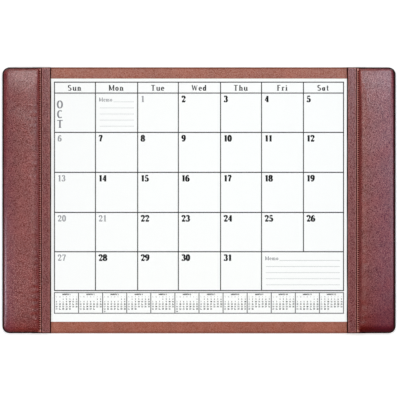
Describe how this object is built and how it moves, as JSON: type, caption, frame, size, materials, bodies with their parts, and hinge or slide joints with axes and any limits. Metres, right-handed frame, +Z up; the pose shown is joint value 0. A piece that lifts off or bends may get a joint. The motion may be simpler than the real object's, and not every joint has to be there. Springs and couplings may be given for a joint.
{
  "type": "desk pad calendar",
  "caption": "Leather-covered desk pad with padded stitched side rails and lifting flaps that hold a sliding month-sheet calendar.",
  "frame": {"origin": "bottom centre of the pad: middle of its outline, on the desk-side face of the felt", "axes": "+X to the user's right across both rails, +Y away from the user, +Z up from the desk"},
  "size_m": [0.648, 0.438, 0.016],
  "materials": {
    "rail_leather": "satin grained",
    "flap_leather": "satin grained",
    "base_leather": "satin grained",
    "thread": "twisted",
    "lining": "matte",
    "felt": "felted",
    "foam": "matte",
    "board": "raw fibreboard",
    "card": "matte grey card",
    "paper": "uncoated paper",
    "gum": "matte"
  },
  "bodies": {
    "base": {"felt_lining": "felt", "base_filler": "card", "base_board": "board", "base_cover": "base_leather", "left_rail_core": "board", "left_spacer_strip": "card", "left_flap_hem": "flap_leather", "left_rail_foam": "foam", "left_rail_cover": "rail_leather", "left_seam_thread": "thread", "right_rail_core": "board", "right_spacer_strip": "card", "right_flap_hem": "flap_leather", "right_rail_foam": "foam", "right_rail_cover": "rail_leather", "right_seam_thread": "thread"},
    "left_flap": {"left_flap_facing": "flap_leather", "left_flap_stiffener": "card", "left_flap_lining": "lining"},
    "right_flap": {"right_flap_facing": "flap_leather", "right_flap_stiffener": "card", "right_flap_lining": "lining"},
    "calendar": {"calendar_backer": "card", "gummed_edge": "gum", "sheet_02": "paper", "sheet_03": "paper", "sheet_04": "paper", "sheet_05": "paper", "sheet_06": "paper", "sheet_07": "paper", "sheet_08": "paper", "sheet_09": "paper", "sheet_10": "paper", "sheet_11": "paper", "sheet_12": "paper"},
    "top_sheet": {"sheet_01": "paper"}
  },
  "joints": [
    {"name": "left_flap_lift", "type": "hinge", "parent": "base", "child": "left_flap", "pos_m": [-0.259, 0, 0.0094], "axis": [0, -1, 0], "range_deg": [0, 60], "stiffness_Nm_per_rad": 0.02},
    {"name": "right_flap_lift", "type": "hinge", "parent": "base", "child": "right_flap", "pos_m": [0.259, 0, 0.0094], "axis": [0, 1, 0], "range_deg": [0, 60], "stiffness_Nm_per_rad": 0.02},
    {"name": "calendar_slide", "type": "slide", "parent": "base", "child": "calendar", "axis": [0, 1, 0], "range_m": [-0.42, 0.42]},
    {"name": "top_sheet_slide", "type": "slide", "parent": "calendar", "child": "top_sheet", "axis": [0, 1, 0], "range_m": [-0.42, 0]}
  ]
}
